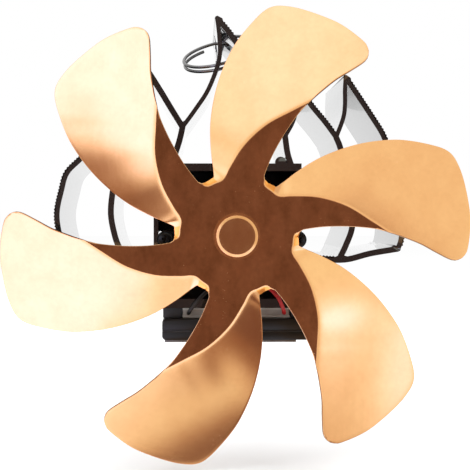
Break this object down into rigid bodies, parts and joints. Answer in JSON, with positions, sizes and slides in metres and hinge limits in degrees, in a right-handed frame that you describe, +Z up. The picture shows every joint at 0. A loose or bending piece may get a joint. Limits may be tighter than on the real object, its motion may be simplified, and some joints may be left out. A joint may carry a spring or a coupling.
{
  "type": "stove fan",
  "caption": "Heat-powered stove fan with a flame-shaped finned heat sink, thermoelectric module, small motor, swept blades and a split carrying ring.",
  "frame": {"origin": "middle of the base block's flat underside", "axes": "+Z up, the fan faces -Y, +X to the right seen from the front"},
  "size_m": [0.1678, 0.0891, 0.1664],
  "materials": {
    "black_anodised": "gloss black anodised",
    "block_black": "black anodised",
    "copper_gold": "brushed, copper-gold anodised",
    "white_ceramic": "matt",
    "module_legs": "sealed edge",
    "insulating_board": "matt",
    "bright_steel": "plated",
    "black_steel": "black oxide",
    "bimetal": "rolled",
    "motor_plastic": "moulded",
    "bronze": "sintered",
    "ferrite": "matt",
    "copper": "enamelled wire",
    "ring_steel": "dark nickel",
    "black_insulation": "silicone",
    "red_insulation": "silicone"
  },
  "bodies": {
    "frame": {"heat_sink": "black_anodised", "base_block": "block_black", "clamp_screw_left": "bright_steel", "clamp_screw_right": "bright_steel", "teg_hot_ceramic": "white_ceramic", "teg_core": "module_legs", "teg_cold_ceramic": "white_ceramic", "insulating_spacer_left": "insulating_board", "insulating_spacer_right": "insulating_board", "bimetal_rivet": "bright_steel", "motor_plate": "black_steel", "box_partition": "black_steel", "plate_screw_left": "black_steel", "plate_screw_right": "black_steel", "motor_screw_lower": "black_steel", "motor_screw_upper": "black_steel", "motor_can": "bright_steel", "motor_end_cap": "motor_plastic", "front_bush": "bronze", "rear_bush": "bronze", "magnet_left": "ferrite", "magnet_right": "ferrite", "brush_left": "bronze", "brush_right": "bronze", "terminal_black": "bronze", "terminal_red": "bronze", "wire_black": "black_insulation", "wire_red": "red_insulation"},
    "rotor": {"fan_blades": "copper_gold", "hub_boss": "black_steel", "hub_cap": "copper_gold", "motor_shaft": "bright_steel", "armature_core": "bright_steel", "winding_1": "copper", "winding_2": "copper", "winding_3": "copper", "commutator": "copper"},
    "ring": {"ring_handle": "ring_steel"},
    "overheat_strip": {"bimetal_strip": "bimetal"}
  },
  "joints": [
    {"name": "fan_spin", "type": "hinge", "parent": "frame", "child": "rotor", "pos_m": [-0.0008, -0.054, 0.0387], "axis": [0, 1, 0], "continuous": true},
    {"name": "ring_swing", "type": "hinge", "parent": "frame", "child": "ring", "pos_m": [-0.0059, -0.013, 0.1077], "axis": [0.9659, 0, 0.2588], "range_deg": [-6, 6]},
    {"name": "strip_lift", "type": "hinge", "parent": "frame", "child": "overheat_strip", "pos_m": [-0.0266, -0.021, -0.0001], "axis": [0, 1, 0], "range_deg": [0, 5], "stiffness_Nm_per_rad": 1, "springref_deg": -0.57}
  ]
}
